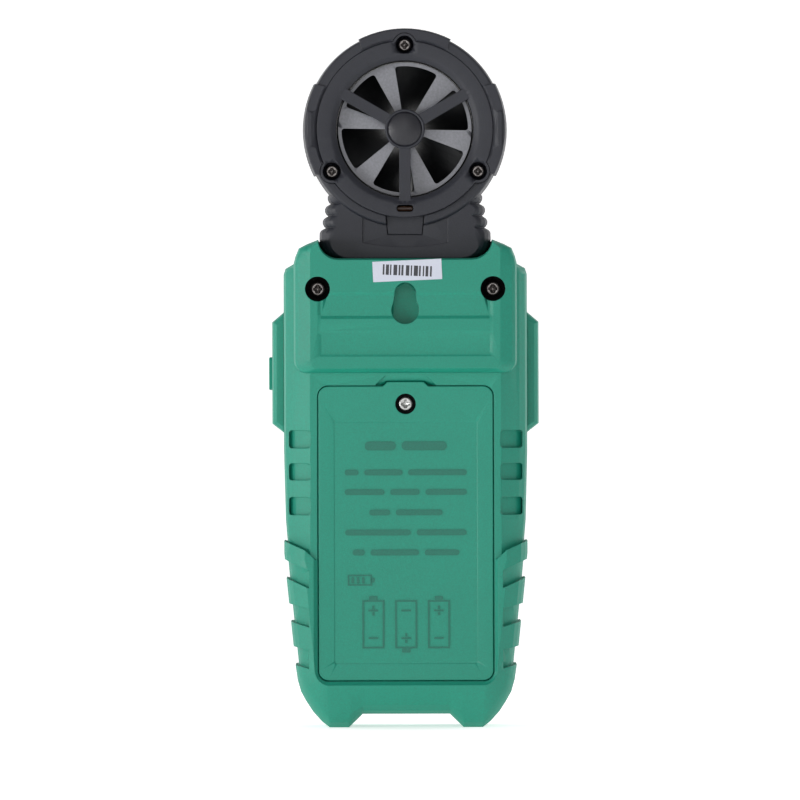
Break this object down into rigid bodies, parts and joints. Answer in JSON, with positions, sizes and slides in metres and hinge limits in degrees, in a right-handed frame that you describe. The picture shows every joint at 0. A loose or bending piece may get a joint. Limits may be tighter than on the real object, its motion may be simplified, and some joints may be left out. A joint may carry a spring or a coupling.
{
  "type": "vane anemometer",
  "caption": "Handheld weather meter with a vane head on a ribbed neck, display and keys in front, screwed battery door and hanging keyhole at the back.",
  "frame": {"origin": "under the middle of the meter, on the plane its two feet stand on", "axes": "+Z along the long axis towards the vane head, +Y out of the back (battery door side), +X to the right of someone who looks at the display"},
  "size_m": [0.0786, 0.0431, 0.2034],
  "materials": {
    "green_plastic": "finely textured moulded plastic",
    "green_rubber": "matt elastomer",
    "dark_plastic": "finely textured moulded plastic",
    "cap_plastic": "satin",
    "rotor_plastic": "satin black",
    "duct_plastic": "smooth black",
    "fascia_film": "printed film",
    "lens_clear": "clear",
    "lcd_glass": "grey-green display",
    "light_guide": "milky",
    "frame_plastic": "moulded",
    "key_rubber": "matt",
    "board_laminate": "solder mask",
    "chip_resin": "moulded",
    "switch_plastic": "moulded",
    "black_screw": "black oxide",
    "bright_steel": "plated",
    "brass": "turned",
    "magnet_metal": "plated",
    "pad_rubber": "foam",
    "cell_can": "printed sleeve",
    "lead_sheath": "smooth",
    "bead_resin": "dipped",
    "label_paper": "paper"
  },
  "bodies": {
    "meter": {"air_duct": "duct_plastic", "battery_1": "cell_can", "battery_2": "cell_can", "battery_3": "cell_can", "battery_contacts": "bright_steel", "battery_leads": "lead_sheath", "battery_springs": "bright_steel", "bearing_front": "brass", "bearing_rear": "brass", "board_chips": "chip_resin", "board_screws": "bright_steel", "buzzer": "chip_resin", "case_screws_lower": "bright_steel", "case_screws_upper": "black_screw", "display_lens": "lens_clear", "fascia": "fascia_film", "front_case": "green_plastic", "hall_sensor": "chip_resin", "hub_cap": "cap_plastic", "key_switches": "switch_plastic", "lcd_backlight": "light_guide", "lcd_connector_strip": "pad_rubber", "lcd_frame": "frame_plastic", "lcd_panel": "lcd_glass", "main_board": "board_laminate", "neck_front": "dark_plastic", "neck_rear": "dark_plastic", "rear_case": "green_plastic", "ring_cover": "dark_plastic", "ring_screws": "black_screw", "sensor_board": "board_laminate", "sensor_lead": "lead_sheath", "serial_label": "label_paper", "side_switch": "switch_plastic", "thermistor": "bead_resin", "threaded_insert": "brass"},
    "door": {"battery_door": "green_plastic", "door_screw": "bright_steel", "battery_pad": "pad_rubber"},
    "rotor": {"impeller": "rotor_plastic", "impeller_shaft": "bright_steel", "rotor_magnets": "magnet_metal"},
    "side_button": {"side_key": "green_rubber"},
    "key_mode_button": {"key_mode": "key_rubber"},
    "key_hold_button": {"key_hold": "key_rubber"},
    "key_max_min_button": {"key_max_min": "key_rubber"},
    "key_unit_button": {"key_unit": "key_rubber"},
    "key_power_button": {"key_power": "key_rubber"},
    "key_light_button": {"key_light": "key_rubber"}
  },
  "joints": [
    {"name": "rotor_spin", "type": "hinge", "parent": "meter", "child": "rotor", "pos_m": [0, 0, 0.17365], "axis": [0, 1, 0], "continuous": true},
    {"name": "battery_door_tilt", "type": "hinge", "parent": "meter", "child": "door", "pos_m": [0, 0.0185, 0.0136], "axis": [-1, 0, 0], "range_deg": [0, 75]},
    {"name": "side_key_press", "type": "slide", "parent": "meter", "child": "side_button", "axis": [-1, 0, 0], "range_m": [0, 0.0007], "stiffness_N_per_m": 600},
    {"name": "key_mode_press", "type": "slide", "parent": "meter", "child": "key_mode_button", "axis": [0, 1, 0], "range_m": [0, 0.0007], "stiffness_N_per_m": 600},
    {"name": "key_hold_press", "type": "slide", "parent": "meter", "child": "key_hold_button", "axis": [0, 1, 0], "range_m": [0, 0.0007], "stiffness_N_per_m": 600},
    {"name": "key_max_min_press", "type": "slide", "parent": "meter", "child": "key_max_min_button", "axis": [0, 1, 0], "range_m": [0, 0.0007], "stiffness_N_per_m": 600},
    {"name": "key_unit_press", "type": "slide", "parent": "meter", "child": "key_unit_button", "axis": [0, 1, 0], "range_m": [0, 0.0007], "stiffness_N_per_m": 600},
    {"name": "key_power_press", "type": "slide", "parent": "meter", "child": "key_power_button", "axis": [0, 1, 0], "range_m": [0, 0.0007], "stiffness_N_per_m": 600},
    {"name": "key_light_press", "type": "slide", "parent": "meter", "child": "key_light_button", "axis": [0, 1, 0], "range_m": [0, 0.0007], "stiffness_N_per_m": 600}
  ]
}
